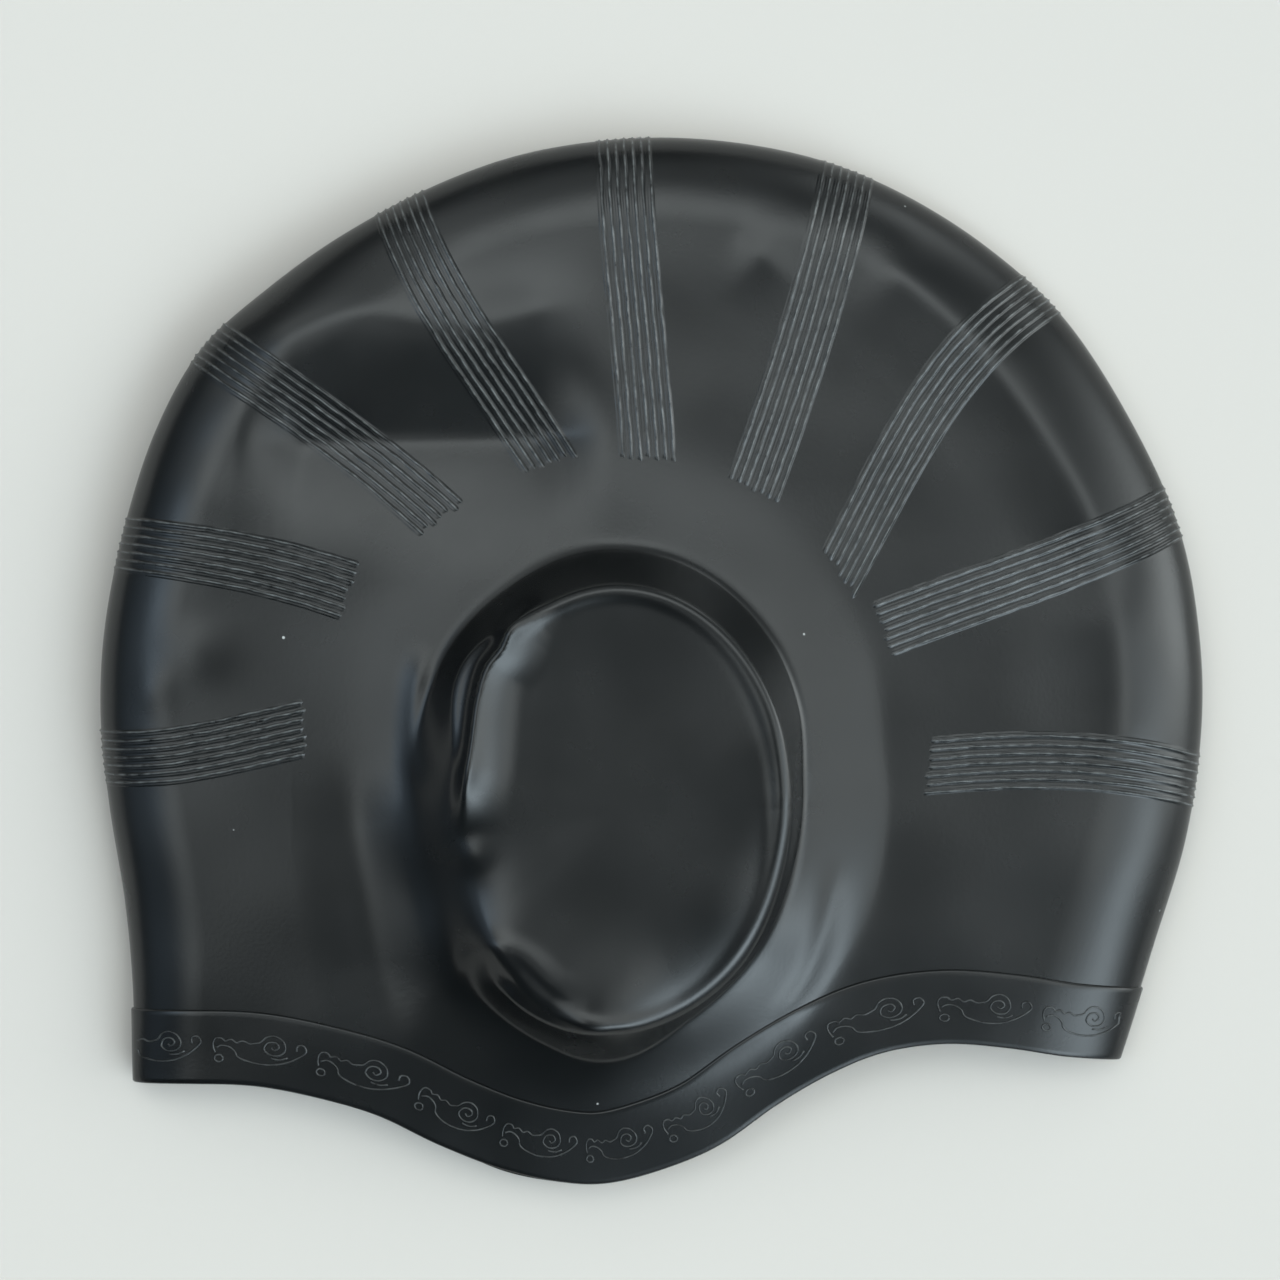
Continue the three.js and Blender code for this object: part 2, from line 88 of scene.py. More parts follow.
# The pocket's side by degrees round its middle: width, softness and height of its steep wall, height of the
# lip on top of it, and width and rise of the gentler flank below it. Where the rises fall short of
# POCKET_RISE, the rim sinks.
POCKET_SIDE = [
    (0, 2.4, 0.1, 7.4, 1.0, 19.8, 3.8),
    (12, 3, 0.1, 8.4, 0.9, 19.8, 3.8),
    (28, 5, 0.08, 9.8, 0.6, 22, 3.8),
    (45, 6.4, 0.08, 10, 0.5, 24, 3.8),
    (90, 7.5, 0.1, 10, 0.5, 28, 3.8),
    (112, 8.2, 0.1, 9.6, 0.4, 26, 3.8),
    (135, 10, 0.1, 7, 0, 24, 3.8),
    (165, 9.8, 0.12, 8.6, 0.1, 20, 3.8),
    (195, 9.5, 0.45, 8.4, 0.1, 18, 3.8),
    (218, 9.5, 0.4, 8.8, 0.1, 15, 3.8),
    (238, 8.5, 0.15, 10, 0.4, 14, 3.8),
    (252, 7.5, 0.12, 10, 0.5, 14, 3.8),
    (268, 7, 0.12, 8.6, 0.6, 14, 4.6),
    (288, 2, 0.15, 2.4, 0.6, 14, 7.2),
    (313, 1.4, 0.15, 1.6, 0.6, 17, 8.2),
    (337, 1.6, 0.12, 3.8, 0.9, 19, 5.6),
]

# Its rim swings out at the upper left, where a shelf lies inside it: degrees, spread, and by how much
RIM_BENDS = [
    (138, 18, 5.6),
]

# A band of ribs: its width and its ridges, how those rise out of the face at their ends and how ragged that
# start is, and how they waver and vary in strength along their way
BAND_WIDTH = 12.0
RIDGES = 7
RIDGE_HEIGHT = 0.38
RIDGE_SINK = 0.15
RIDGE_END = 1.0
RIB_RAGGED = 1.2
RIB_WAVER = 0.08
RIB_WAVER_BEND = 6
RIB_STRENGTH_BEND = 4
RIB_HEIGHT_VARIES = 0.28
# how much the pale paint on the ridge crests varies along them: partly wear, partly a painted highlight
RIB_WEAR_AND_HIGHLIGHT_VARIES = 0.25
RIB_SEED = 7

# Across one ridge, in shares of its pitch and its height: a main line, and a fainter one beside it
RIDGE_SECTION = np.array([
    (0, -0.1), (0.24, 0.3), (0.34, 0.95), (0.42, 1), (0.52, 0.5), (0.66, 0.32), (0.74, 0.42), (0.84, 0.2),
])

HEM_BAND = 15.5
HEM_STEP = 0.5
HEM_OVERLAP = 0.8  # how far the shell's edge is tucked into the hem band

# The hem band's section, as distance in from the hem's edge and height
HEM_OUTSIDE = [(inset, HEM_STEP) for inset in np.linspace(0.45, HEM_BAND - 0.35, 18)]
HEM_TOP_EDGE = [
    (HEM_BAND - 0.12, HEM_STEP * 0.8),
    (HEM_BAND, HEM_STEP * 0.3),
    (HEM_BAND + 0.1, -0.1),
    (HEM_BAND - 0.5, -WALL + 0.1),
]
HEM_INSIDE = [(inset, -WALL - 0.08) for inset in np.linspace(HEM_BAND - 1, 0.45, 8)]
HEM_LIP = [(0.1, -0.75), (0, -0.3), (0.1, 0.25)]
HEM_SECTION = HEM_OUTSIDE + HEM_TOP_EDGE + HEM_INSIDE + HEM_LIP

# The scroll border: spacing and size of a scroll, and width and height of its lines
SCROLL_PITCH = 20.0
SCROLL_WIDTH = 18.0
SCROLL_HEIGHT = 7.0
SCROLL_LINE = 0.4
SCROLL_RELIEF = 0.22
# how pale the scroll lines are painted: partly wear, partly a painted highlight
SCROLL_WEAR_AND_HIGHLIGHT = 0.3
SCROLL_END = -0.3  # how a line dips at both ends, in shares of its height
SCROLL_FIRST = -0.14  # where the first scroll starts, in pitches from the left fold
SCROLL_INSET = 4.3
SCROLL_EDGE = 1.5  # room left at both ends of the hem
SCROLL_SHORTEST = 3  # points that a line needs

# Across one line of a scroll, in shares of its width and height
SCROLL_SECTION = np.array([(-0.5, -0.12), (-0.32, 0.7), (0, 1), (0.32, 0.7), (0.5, -0.12)])

# One scroll, as strokes in shares of its width along the hem and of its height across it
SCROLL_STROKES = [
    [(0.12, 0.2), (0.09, 0.29), (0.04, 0.28), (0.02, 0.18), (0.05, 0.1), (0.1, 0.11), (0.12, 0.2)],
    [(0.03, 0.36), (0.01, 0.52), (0.01, 0.68), (0.04, 0.79), (0.1, 0.79), (0.14, 0.71), (0.2, 0.76),
     (0.26, 0.67), (0.32, 0.73), (0.39, 0.66), (0.45, 0.69), (0.5, 0.74), (0.55, 0.9), (0.63, 0.97),
     (0.72, 0.87), (0.76, 0.62), (0.71, 0.43), (0.61, 0.4), (0.54, 0.54), (0.57, 0.74), (0.65, 0.78),
     (0.69, 0.66), (0.65, 0.55), (0.61, 0.61)],
    [(0.04, 0.5), (0.1, 0.58), (0.18, 0.54), (0.24, 0.42), (0.27, 0.26), (0.35, 0.16), (0.49, 0.09),
     (0.66, 0.12), (0.81, 0.27), (0.92, 0.48), (0.98, 0.68), (0.94, 0.84), (0.88, 0.79), (0.88, 0.62)],
    [(0.62, 0.3), (0.72, 0.3), (0.8, 0.4)],
]

# Middle of the ear pocket, as shares of the cap's width and length
POCKET_CENTRE = (-0.03, -0.136)

# The fold line, then on below the hem, as shares from the middle of the cap's box
FOLD_LINE = [
    (0.422, -0.38),
    (0.454, -0.272),
    (0.483, -0.171),
    (0.497, -0.071),
    (0.496, 0.02),
    (0.479, 0.12),
    (0.438, 0.22),
    (0.375, 0.324),
    (0.3, 0.397),
    (0.212, 0.453),
    (0.121, 0.486),
    (0.012, 0.499),
    (-0.097, 0.488),
    (-0.187, 0.458),
    (-0.278, 0.408),
    (-0.35, 0.354),
    (-0.409, 0.297),
    (-0.45, 0.22),
    (-0.478, 0.129),
    (-0.496, 0.034),
    (-0.5, -0.052),
    (-0.492, -0.138),
    (-0.478, -0.229),
    (-0.471, -0.31),
    (-0.469, -0.402),
    (-0.464, -0.506),
    (-0.373, -0.611),
    (-0.047, -0.649),
    (0.28, -0.601),
    (0.384, -0.496),
]

# The hem's edge from the left corner to the right one: x, y, and how much lower the lower face hangs
HEM_EDGE = [
    (-0.469, -0.4015, 0),
    (-0.409, -0.4, 0),
    (-0.355, -0.402, 0),
    (-0.3, -0.413, 0),
    (-0.246, -0.43, 0.001),
    (-0.192, -0.458, 0.004),
    (-0.137, -0.481, 0.008),
    (-0.083, -0.494, 0.006),
    (-0.038, -0.495, 0.003),
    (0.014, -0.48, 0),
    (0.062, -0.457, 0),
    (0.112, -0.419, 0),
    (0.16, -0.389, 0),
    (0.207, -0.369, 0),
    (0.261, -0.361, 0),
    (0.316, -0.365, 0),
    (0.37, -0.374, 0),
    (0.422, -0.38, 0),
]

# Bands of ribs: degrees round the pocket at the start, halfway and at the fold line, and how far out each
# starts, as a share of the cap's width
RIB_BANDS = [
    (7.3, 5.7, 2.3, 0.27),
    (34, 29.3, 27.8, 0.274),
    (46.3, 52, 50.3, 0.285),
    (67, 68.4, 70.2, 0.301),
    (85.1, 88.3, 89.7, 0.305),
    (101.1, 108.2, 110.1, 0.302),
    (121.5, 127.6, 131.9, 0.294),
    (141.2, 147.5, 152.6, 0.292),
    (165.8, 172.5, 174.8, 0.277),
]

# The photograph's frame: its middle and its scale, level with the fold line, and how high the camera stands
PHOTO_SIZE = 1280
PIXEL = 1 / 4.8
PHOTO_CENTRE = (-2.4, 4.3)
CAMERA_HEIGHT = 750.0

# How high the creases round the pocket and those on it lie
FIELD_LEVEL = 17.0
POCKET_LEVEL = 23.0

# Creases and ridges of the upper face, along paths in pixels of the photograph. Each has its rise, its widths
# to the left and right of the path, how round its top is, and the lengths its two ends taper over, in
# millimetres.
FIELD_FOLDS = [
    # long fold across the upper left: its valley, and the ridge above it
    {"path": [(235, 434), (300, 440), (420, 439), (540, 436), (615, 430)],
     "rise": -3.6, "left": 14, "right": 14, "round": 1.3, "taper": (15, 18)},
    {"path": [(225, 362), (250, 350), (290, 331), (335, 318), (380, 319), (430, 328), (480, 330), (550, 312),
              (630, 300)],
     "rise": 1.9, "left": 8, "right": 12, "round": 3, "taper": (14, 22)},
    # short crease right of the top band of ribs
    {"path": [(728, 236), (752, 250), (780, 272), (815, 304)],
     "rise": 1.1, "left": 10, "right": 6, "round": 1.5, "taper": (9, 15)},
    # lines along the inside of the right roll
    {"path": [(870, 250), (960, 330), (1035, 425), (1085, 500), (1110, 580)],
     "rise": 1.0, "left": 7, "right": 8, "round": 1.5, "taper": (10, 14)},
    {"path": [(1095, 570), (1118, 620), (1124, 720), (1118, 790)],
     "rise": 0.7, "left": 7, "right": 8, "round": 1.5, "taper": (14, 14)},
    # left side: long shallow lines inside the roll
    {"path": [(212, 620), (206, 530), (212, 440)],
     "rise": 0.5, "left": 9, "right": 12, "round": 3, "taper": (14, 14)},
    {"path": [(352, 740), (358, 830), (372, 930), (390, 1000), (420, 1040)],
     "rise": -0.9, "left": 6, "right": 6, "round": 3, "taper": (18, 18)},
]

# Buckled left side of the pocket: its rim stands up as a ridge, dips, and curls in at its lower end.
POCKET_FOLDS = [
    {"path": [(556, 598), (529, 611), (512, 628), (503, 648), (488, 668), (479, 700), (473, 745), (466, 790),
              (462, 840)],
     "rise": 3.5, "left": 4.8, "right": 1.5, "round": 0.5, "taper": (13, 16)},
    # edge of the wall's foot
    {"path": [(426, 640), (416, 690), (412, 745), (417, 800)],
     "rise": 0.8, "left": 2.6, "right": 2.2, "round": 0.8, "taper": (9, 9)},
    # the rim curls in at its lower left, with a valley behind it
    {"path": [(620, 1030), (583, 1030), (555, 1024), (526, 1010), (504, 991), (486, 974)],
     "rise": 1.3, "left": 1.8, "right": 1.6, "round": 0.5, "taper": (8, 7)},
    {"path": [(466, 1010), (460, 980), (467, 958), (484, 945), (506, 944), (530, 958), (556, 984),
              (584, 1004)],
     "rise": 0.5, "left": 2.0, "right": 1.8, "round": 0.8, "taper": (7, 9)},
    {"path": [(486, 972), (504, 972), (530, 988), (556, 1006), (590, 1016)],
     "rise": -1.2, "left": 3.2, "right": 2.0, "round": 1.2, "taper": (6, 9)},
    # line along the flank at the lower right
    {"path": [(838, 850), (826, 920), (806, 980), (770, 1030)],
     "rise": 0.4, "left": 2.6, "right": 1.8, "round": 0.6, "taper": (10, 8)},
]

# Soft bumps and dents: pixel, rise and size
FACE_BUMPS = [
    ((196, 655), 0.6, 6),
    ((150, 690), 0.4, 4.5),
    ((475, 852), 0.7, 3.5),
    ((452, 885), -1.8, 10),
    ((605, 1018), 1.7, 14),
]

# Faint waves all over the upper face: height, length and heading in degrees
WAVES = [
    (0.06, 31, 20),
    (0.05, 24, 75),
    (0.045, 27, 128),
]

FOLD_MARGIN = 2  # how many widths away a fold still lifts the face

UPPER = 1
LOWER = -1

# How finely curves are drawn: points from one row of a table to the next
FOLD_LINE_STEPS = 30
HEM_EDGE_STEPS = 24
SIDE_STEPS = 12
PATH_STEPS = 5
STROKE_STEPS = 6
HEM_RUN_ON = 6  # points back from the hem's corner that give its heading there

# Each shell's grid: columns round the pocket, and rings to the rim, down the wall, over the flank, out to the
# roll and over it
UPPER_GRID = (480, (52, 24, 16, 76, 30))
LOWER_GRID = (480, (6, 8, 6, 30, 14))
INSIDE_GRID = (240, (14, 10, 6, 24, 12))
RIM_CROWD = 0.8  # under 1, the rings inside the rim crowd towards it
SKIRT_SHARE = 0.5  # most that the flank, and then the roll, may take of the room that is left
ANGLE_SAMPLES = 20000
CORNER_CROWD = 5
CORNER_SPREAD = 0.05

RIB_STEPS = {UPPER: (96, 30), LOWER: (28, 10)}  # along the face, and over the roll
HEM_COLUMNS = 230
HEM_END_COLUMNS = 14
HEM_END_SHARE = 0.075
TINY = 1e-3

# The silicone's colours in linear light: its two shades, the pale of ridge crests and scroll lines (partly
# wear, partly a painted highlight), and dust
SILICONE_DARK = (0.0036, 0.0042, 0.0044, 1)
SILICONE_PALE = (0.0062, 0.0069, 0.0073, 1)
SILICONE_WORN_AND_HIGHLIGHT = (0.13, 0.136, 0.136, 1)
DUST_COLOUR = (0.35, 0.36, 0.35, 1)

# Specks of dust: places for them per metre, radius of a speck and of its core in shares of the gap between
# two places, and the share of the places that stay clean
DUST_SCALE = 95
DUST_SIZE = 0.035
DUST_CORE = 0.02
DUST_RARE = 0.82

TABLE_COLOUR = (0.51, 0.478, 0.442, 1)
TABLE_HALF = 20.0  # metres


def lerp(a, b, share):
    return a + (b - a) * share


def smooth(value):
    value = np.clip(value, 0, 1)
    return value * value * (3 - 2 * value)


def catmull_rom(points, steps, closed):
    """A smooth curve through the points, with that many steps between two of them."""
    points = np.asarray(points, float)
    if closed:
        padded = np.vstack([points[-1:], points, points[:2]])
    else:
        padded = np.vstack([2 * points[0] - points[1], points, 2 * points[-1] - points[-2]])
    t = (np.arange(steps) / steps)[:, None]
    pieces = []
    for a, b, c, d in zip(padded[:-3], padded[1:-2], padded[2:-1], padded[3:]):
        slope_b, slope_c = (c - a) / 2, (d - b) / 2
        pieces.append(
            (2 * t**3 - 3 * t**2 + 1) * b
            + (t**3 - 2 * t**2 + t) * slope_b
            + (3 * t**2 - 2 * t**3) * c
            + (t**3 - t**2) * slope_c
        )
    curve = np.vstack(pieces)
    return curve if closed else np.vstack([curve, points[-1:]])


def place(share_x, share_y):
    """A place in plan, from shares of the cap's width and length."""
    return np.array([share_x * CAP_WIDTH, share_y * CAP_LENGTH])


CENTRE = place(*POCKET_CENTRE)
TURN = 2 * math.pi

fold_curve = catmull_rom([place(x, y) for x, y in FOLD_LINE], FOLD_LINE_STEPS, closed=True)
fold_arms = fold_curve - CENTRE
fold_angles = np.mod(np.arctan2(fold_arms[:, 1], fold_arms[:, 0]), TURN)
fold_order = np.argsort(fold_angles)
fold_angles = fold_angles[fold_order]
fold_reaches = np.hypot(*fold_arms.T)[fold_order]


def fold_reach(angle):
    """How far the fold line is from the pocket's middle."""
    return np.interp(np.mod(angle, TURN), fold_angles, fold_reaches, period=TURN)


def hem_curve(face):
    """The hem's edge on one face, run on straight past both corners."""
    rows = [place(x, y - (under if face == LOWER else 0)) for x, y, under in HEM_EDGE]
    curve = catmull_rom(rows, HEM_EDGE_STEPS, closed=False)
    ends = [curve[0] + (curve[0] - curve[HEM_RUN_ON]) * k for k in (3, 2, 1)]
    far_ends = [curve[-1] + (curve[-1] - curve[-1 - HEM_RUN_ON]) * k for k in (1, 2, 3)]
    return np.vstack([ends, curve, far_ends])


def curve_sides(curve):
    """Unit vectors to the left of a curve, which for the hem is towards the crown."""
    along = np.gradient(curve, axis=0)
    along /= np.linalg.norm(along, axis=1)[:, None]
    return np.stack([-along[:, 1], along[:, 0]], axis=1)


def offset_curve(curve, distance):
    return curve + curve_sides(curve) * distance


def hem_reach(face, inset):
    """The hem's edge, set in by inset, as distances from the pocket's middle by angle."""
    arms = offset_curve(hem_curve(face), inset) - CENTRE
    angles = np.mod(np.arctan2(arms[:, 1], arms[:, 0]), TURN)
    return angles, np.hypot(*arms.T)


def near_turn(angle, degrees, spread):
    """1 at that many degrees round the pocket, fading out over spread degrees."""
    away = (np.degrees(angle) - degrees + 180) % 360 - 180
    return np.exp(-((away / spread) ** 2))


def oval_reach(angle):
    """How far the pocket's plain oval reaches from its middle."""
    side = np.where(np.cos(angle) > 0, POCKET_RIGHT, POCKET_LEFT)
    return 1 / np.hypot(np.cos(angle) / side, np.sin(angle) / (POCKET_LENGTH / 2))


def rim_reach(angle):
    """How far the pocket's rim reaches: the oval with its bends."""
    bends = sum(shift * near_turn(angle, degrees, spread) for degrees, spread, shift in RIM_BENDS)
    return oval_reach(angle) + bends


side_turns = np.radians([row[0] for row in POCKET_SIDE])
side_curve = catmull_rom([row[1:] for row in POCKET_SIDE], SIDE_STEPS, closed=True)
side_gaps = np.diff(np.append(side_turns, TURN))
side_angles = (side_turns[:, None] + side_gaps[:, None] * np.arange(SIDE_STEPS) / SIDE_STEPS).ravel()


def pocket_side(angle):
    """The columns of POCKET_SIDE at any angle."""
    return [np.interp(np.mod(angle, TURN), side_angles, column, period=TURN) for column in side_curve.T]


def roll_run(face, angle):
    """Width of the roll, which changes smoothly from the top to the sides."""
    if face == LOWER:
        return np.full_like(angle, ROLL_UNDER)
    side = np.where(np.cos(angle) > 0, ROLL_RIGHT, ROLL_LEFT)
    return lerp(ROLL_TOP, side, np.cos(angle) ** 2)


def seen_at(pixels, level):
    """Places in plan of what the photograph shows at those pixels, at that height."""
    scale = PIXEL * (CAMERA_HEIGHT - level) / (CAMERA_HEIGHT - FOLD_HEIGHT)
    pixels = np.asarray(pixels, float) - PHOTO_SIZE / 2
    return np.array(PHOTO_CENTRE) + pixels * (scale, -scale)


def distance_to_path(spots, curve):
    """Each spot's distance to a curve, positive on its left, how far along it is, and the curve's length."""
    starts, arms = curve[:-1], np.diff(curve, axis=0)
    lengths = np.hypot(*arms.T)
    before = np.concatenate([[0], np.cumsum(lengths)])
    best = np.full(len(spots), np.inf)
    signed = np.zeros(len(spots))
    along = np.zeros(len(spots))
    for start, arm, length, covered in zip(starts, arms, lengths, before):
        offset = spots - start
        share = np.clip(offset @ arm / length**2, 0, 1)
        distance = np.hypot(*(offset - share[:, None] * arm).T)
        side = np.sign(arm[0] * offset[:, 1] - arm[1] * offset[:, 0])
        closer = distance < best
        best = np.where(closer, distance, best)
        signed = np.where(closer, side * distance, signed)
        along = np.where(closer, covered + share * length, along)
    return signed, along, before[-1]


def fold_rise(spots):
    """Height that the creases, ridges, bumps, dents and waves add at places on the upper face."""
    rise = np.zeros(len(spots))
    for level, folds in ((FIELD_LEVEL, FIELD_FOLDS), (POCKET_LEVEL, POCKET_FOLDS)):
        for fold in folds:
            curve = catmull_rom(seen_at(fold["path"], level), PATH_STEPS, closed=False)
            margin = FOLD_MARGIN * max(fold["left"], fold["right"])
            near = np.all((spots > curve.min(axis=0) - margin) & (spots < curve.max(axis=0) + margin), axis=1)
            if not near.any():
                continue
            signed, along, length = distance_to_path(spots[near], curve)
            width = np.where(signed > 0, fold["left"], fold["right"])
            start, end = fold["taper"]
            ends = smooth(along / start) * smooth((length - along) / end)
            away = (np.hypot(signed, fold["round"]) - fold["round"]) / width
            rise[near] += fold["rise"] * ends * np.clip(1 - away / FOLD_MARGIN, 0, 1) ** 2
    for pixel, bump, size in FACE_BUMPS:
        gap = np.hypot(*(spots - seen_at(pixel, FIELD_LEVEL)).T)
        rise += bump * np.exp(-((gap / size) ** 2))
    for height, length, heading in WAVES:
        along = spots @ (math.cos(math.radians(heading)), math.sin(math.radians(heading)))
        rise += height * np.sin(TURN * along / length)
    return rise


def ramp(value, soft):
    """Rises evenly from 0 to 1, with both corners rounded off by soft."""
    low = (value + np.hypot(value, soft)) / 2
    return 1 - (1 - low + np.hypot(1 - low, soft)) / 2


def hem_share(spots):
    """How near a place is to the hem: 0 from the pocket's middle up, 1 at the hem's lowest."""
    return np.clip((CENTRE[1] - spots[:, 1]) / (CENTRE[1] + CAP_LENGTH / 2), 0, 1) ** 2


def face_rise(face, spots, angle, reach):
    """Height of a face above or below the fold line, before it rounds over."""
    rim = rim_reach(angle)
    beyond = reach - rim
    wall_run, wall_soft, wall_rise, lip_rise, flank_run, flank_rise = pocket_side(angle)
    near = smooth(2 * reach / rim)  # the middle of the top takes no part in what changes round the rim
    wall = lerp(1, ramp(1 - beyond / (oval_reach(angle) + wall_run - rim), wall_soft), near)
    if face == LOWER:
        inside = fold_reach(angle) - ROLL_UNDER - reach
        stands = LOWER_LIFT * smooth(inside / (2 * ROLL_RIGHT)) * (1 - hem_share(spots))
        lift = EDGE_LIFT + stands + HEM_LIFT * hem_share(spots)
        return FOLD_HEIGHT - lift * (1 - wall)
    to_right = np.clip(np.cos(angle), 0, 1)
    soft = lerp(FLANK_SOFT, FLANK_CRISP, to_right)
    flank = lerp(1, ramp(1 - beyond / flank_run, soft), near)
    sink = POCKET_RISE - wall_rise - flank_rise
    across = reach / fold_reach(angle)
    dish = PLATEAU_DISH * np.maximum(0, 1 - (reach / rim) ** DISH_BEND)
    lip = lip_rise * np.exp(-((beyond / lerp(LIP_WIDTH, LIP_WIDTH_RIGHT, to_right) + LIP_INSET) ** 2))
    return (
        FACE_RISE
        + lip
        + DOME_RISE * (1 - across**2)
        - HEM_FALL * hem_share(spots)
        + (wall_rise + sink * (1 - np.minimum(1, reach / rim) ** SINK_BEND)) * wall
        + flank_rise * flank
        - dish
        + fold_rise(spots)
    )


def over_roll(turn):
    """Angle over the roll: none until turn is 1, and a right angle at 2."""
    return np.maximum(0, turn - 1) * math.pi / 2


def reach_at(face, angle, turn):
    """How far from the pocket's middle a face's point is: out to the roll at 1, and to the fold line at 2."""
    outer = fold_reach(angle)
    run = roll_run(face, angle)
    return np.where(turn < 1, turn * (outer - run), outer - run * (1 - np.sin(over_roll(turn))))


def face_points(face, angle, turn):
    """Points of a face. From 1 to 2, turn carries them over the roll to the fold line."""
    reach = reach_at(face, angle, turn)
    spots = CENTRE + np.stack([np.cos(angle), np.sin(angle)], axis=1) * reach[:, None]
    height = face_rise(face, spots, angle, reach) * np.cos(over_roll(turn))
    return np.column_stack([spots, FOLD_HEIGHT + face * height])


def turn_at(face, angle, reach):
    """The turn that carries a face's point that far from the pocket's middle."""
    outer = fold_reach(angle)
    run = roll_run(face, angle)
    over = np.arcsin(np.clip(1 - (outer - reach) / run, 0, 1))
    return np.where(reach < outer - run, reach / (outer - run), 1 + over / (math.pi / 2))


def offset_points(face, angle, turn, offset):
    """The same points moved out of the face, square to it."""
    turn = np.maximum(turn, TINY)
    points = face_points(face, angle, turn)
    across = face_points(face, angle + TINY, turn) - face_points(face, angle - TINY, turn)
    out = face_points(face, angle, turn + TINY / 4) - face_points(face, angle, turn - TINY / 4)
    normals = np.cross(out, across)
    normals /= np.linalg.norm(normals, axis=1)[:, None]
    return points + face * normals * np.broadcast_to(offset, len(angle))[:, None]


def plan_points(face, spots, offset):
    """Points of a face above or below places in plan, moved out by offset."""
    arms = spots - CENTRE
    angle = np.arctan2(arms[:, 1], arms[:, 0])
    reach = np.minimum(np.hypot(*arms.T), fold_reach(angle))
    return offset_points(face, angle, turn_at(face, angle, reach), offset)


# The frame puts the cap's origin under the middle of its box.
plan_low, plan_high = fold_curve.min(axis=0), fold_curve.max(axis=0)
FRAME_SHIFT = np.array([-(plan_low[0] + plan_high[0]) / 2, 0.0, 0.0])


def make_object(name, points, quads, material, wear_and_highlight=None):
    """A smooth mesh from points in millimetres and faces, riding with the cap."""
    mesh = bpy.data.meshes.new(name)
    mesh.from_pydata(((points + FRAME_SHIFT) * MM).tolist(), [], quads)
    mesh.validate()
    # How pale each point is painted: partly wear, partly a painted highlight on raised crests
    if wear_and_highlight is not None:
        mesh.attributes.new("wear_and_highlight", "FLOAT", "POINT").data.foreach_set("value", wear_and_highlight.astype(np.float32))
    mesh.shade_smooth()
    mesh.materials.append(material)
    piece = bpy.data.objects.new(name, mesh)
    bpy.context.scene.collection.objects.link(piece)
    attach(piece, "root")
    return piece


def band_angle(band, share):
    """The angle round the pocket at a share of a band's way to the fold line."""
    start, middle, end, _ = band
    bend = start + share * (4 * middle - 3 * start - end) + share**2 * (2 * start + 2 * end - 4 * middle)
    return np.radians(bend)


def crowded_angles(count, corners):
    """Angles round the pocket, closer together near the hem's two corners, with one on each."""
    fine = np.linspace(0, TURN, ANGLE_SAMPLES)
    density = 1 + sum(CORNER_CROWD * np.exp(-(((fine - corner) / CORNER_SPREAD) ** 2)) for corner in corners)
    total = np.concatenate([[0], np.cumsum(density)[:-1]])
    angles = np.interp(np.arange(count) / count * total[-1], total, fine)
    for corner in corners:
        angles[np.argmin(np.abs(angles - corner))] = corner
    return angles


def face_grid(face, columns, rings):
    """Angles and reaches of a face's grid, in rings from the pocket's middle to the fold line or the hem."""
    hem_angles, hem_reaches = hem_reach(face, HEM_OVERLAP)
    inside = np.where(fold_reach(hem_angles) > hem_reaches)[0]
    corners = hem_angles[inside[[0, -1]]]
    angle = crowded_angles(columns, corners)
    over_hem = (angle >= corners[0]) & (angle <= corners[1])
    limit = np.where(over_hem, np.interp(angle, hem_angles[inside], hem_reaches[inside]), fold_reach(angle))
    wall_run, _, _, _, flank_run, _ = pocket_side(angle)
    rim = rim_reach(angle)
    foot = oval_reach(angle) + wall_run
    skirt = np.minimum(rim + flank_run, lerp(foot, limit, SKIRT_SHARE))
    run = np.minimum(roll_run(face, angle), SKIRT_SHARE * (limit - skirt))
    stops = [0 * rim, rim, foot, skirt, limit - run, limit]
    reach = []
    for count, low, high in zip(rings, stops[:-1], stops[1:]):
        share = np.arange(1, count + 1) / count
        if low is stops[0]:
            share = share**RIM_CROWD
        if high is limit:
            share = np.sin(share * math.pi / 2)
        reach += [lerp(low, high, part) for part in share]
    return np.broadcast_to(angle, (len(reach), columns)), np.array(reach)


def grid_quads(rows, columns, first, flip):
    """Faces of a grid that closes on itself along its columns."""
    a = first + np.arange((rows - 1) * columns).reshape(rows - 1, columns)
    b = a + columns
    corners = [a, b, np.roll(b, -1, axis=1), np.roll(a, -1, axis=1)]
    quads = np.stack(corners[::-1] if flip else corners, axis=-1).reshape(-1, 4)
    return quads.tolist()


def make_shell(name, faces, columns, rings, offset, material):
    """Faces of the shell at an offset from the middle surface."""
    points, quads = [], []
    first = 0
    for face in faces:
        angle, reach = face_grid(face, columns, rings)
        rows = len(reach)
        turn = turn_at(face, angle.ravel(), reach.ravel())
        centre = offset_points(face, np.zeros(1), np.full(1, TINY), offset)
        points += [offset_points(face, angle.ravel(), turn, offset), centre]
        flip = (face == LOWER) != (offset < 0)
        quads += grid_quads(rows, columns, first, flip)
        middle = first + rows * columns
        for j in range(columns):
            fan = (middle, first + j, first + (j + 1) % columns)
            quads.append(fan[::-1] if flip else fan)
        first = middle + 1
    return make_object(name, np.vstack(points), quads, material, np.zeros(first))


def wander(count, bend, rng):
    """A random line between -1 and 1 with that many samples, and a bend about every bend of them."""
    knots = rng.uniform(-1, 1, count // bend + 3)
    return np.interp(np.arange(count) / bend, np.arange(len(knots)), knots)


def wander_ridges(count, bend, rng):
    """Such a line for each ridge of a band, side by side."""
    return np.stack([wander(count, bend, rng) for _ in range(RIDGES)], axis=1)


def strip_quads(rows, columns, first, face):
    """Faces of an open grid on one of the cap's faces."""
    a = first + (np.arange(rows - 1)[:, None] * columns + np.arange(columns - 1)).ravel()
    corners = [a, a + columns, a + columns + 1, a + 1]
    return np.stack(corners if face == UPPER else corners[::-1], axis=-1).tolist()


